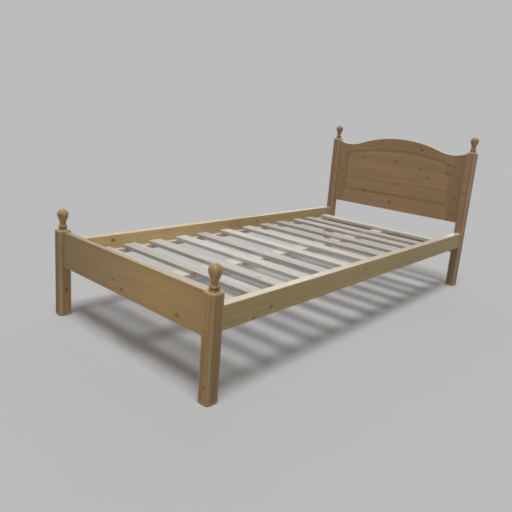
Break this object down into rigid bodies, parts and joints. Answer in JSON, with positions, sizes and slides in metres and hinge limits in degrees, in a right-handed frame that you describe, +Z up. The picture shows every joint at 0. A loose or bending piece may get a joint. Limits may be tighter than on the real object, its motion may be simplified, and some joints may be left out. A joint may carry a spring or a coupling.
{
  "type": "wooden bed",
  "caption": "Low single slatted bed frame in clear-finished pine with turned finials on square posts and an arched, panelled headboard.",
  "frame": {"origin": "on the floor at the centre of the rectangle of the four posts", "axes": "+X to the right seen from the foot of the bed, +Y from the foot end to the head end, +Z up"},
  "size_m": [0.994, 2.077, 0.9027],
  "materials": {
    "post_pine": "clear satin varnish",
    "turned_pine": "clear satin varnish",
    "frame_pine": "clear satin varnish",
    "panel_pine": "clear satin varnish",
    "rail_pine": "clear satin varnish",
    "slat_wood": "planed, unvarnished",
    "ledge_wood": "planed, unvarnished",
    "dowel_beech": "fluted, unvarnished",
    "cap_wood": "clear satin varnish",
    "zinc_steel": "zinc plated"
  },
  "bodies": {
    "root": {"barrel_nuts_left": "zinc_steel", "barrel_nuts_right": "zinc_steel", "beam_cleat": "ledge_wood", "centre_beam": "slat_wood", "cross_rail_dowels": "dowel_beech", "foot_board": "rail_pine", "foot_board_dowels": "dowel_beech", "foot_bolt_caps": "cap_wood", "foot_bolts_left": "zinc_steel", "foot_bolts_right": "zinc_steel", "foot_finial_left": "turned_pine", "foot_finial_right": "turned_pine", "foot_post_left": "post_pine", "foot_post_right": "post_pine", "head_bolt_caps": "cap_wood", "head_bolts_left": "zinc_steel", "head_bolts_right": "zinc_steel", "head_cross_rail": "rail_pine", "head_finial_left": "turned_pine", "head_finial_right": "turned_pine", "head_post_left": "post_pine", "head_post_right": "post_pine", "headboard_bottom_rail": "frame_pine", "headboard_dowels": "dowel_beech", "headboard_panel": "panel_pine", "headboard_stile_left": "frame_pine", "headboard_stile_right": "frame_pine", "headboard_top_rail": "frame_pine", "side_rail_left": "rail_pine", "side_rail_right": "rail_pine", "slat_01": "slat_wood", "slat_02": "slat_wood", "slat_03": "slat_wood", "slat_04": "slat_wood", "slat_05": "slat_wood", "slat_06": "slat_wood", "slat_07": "slat_wood", "slat_08": "slat_wood", "slat_09": "slat_wood", "slat_10": "slat_wood", "slat_11": "slat_wood", "slat_12": "slat_wood", "slat_13": "slat_wood", "slat_ledge_left": "ledge_wood", "slat_ledge_right": "ledge_wood"}
  },
  "joints": []
}
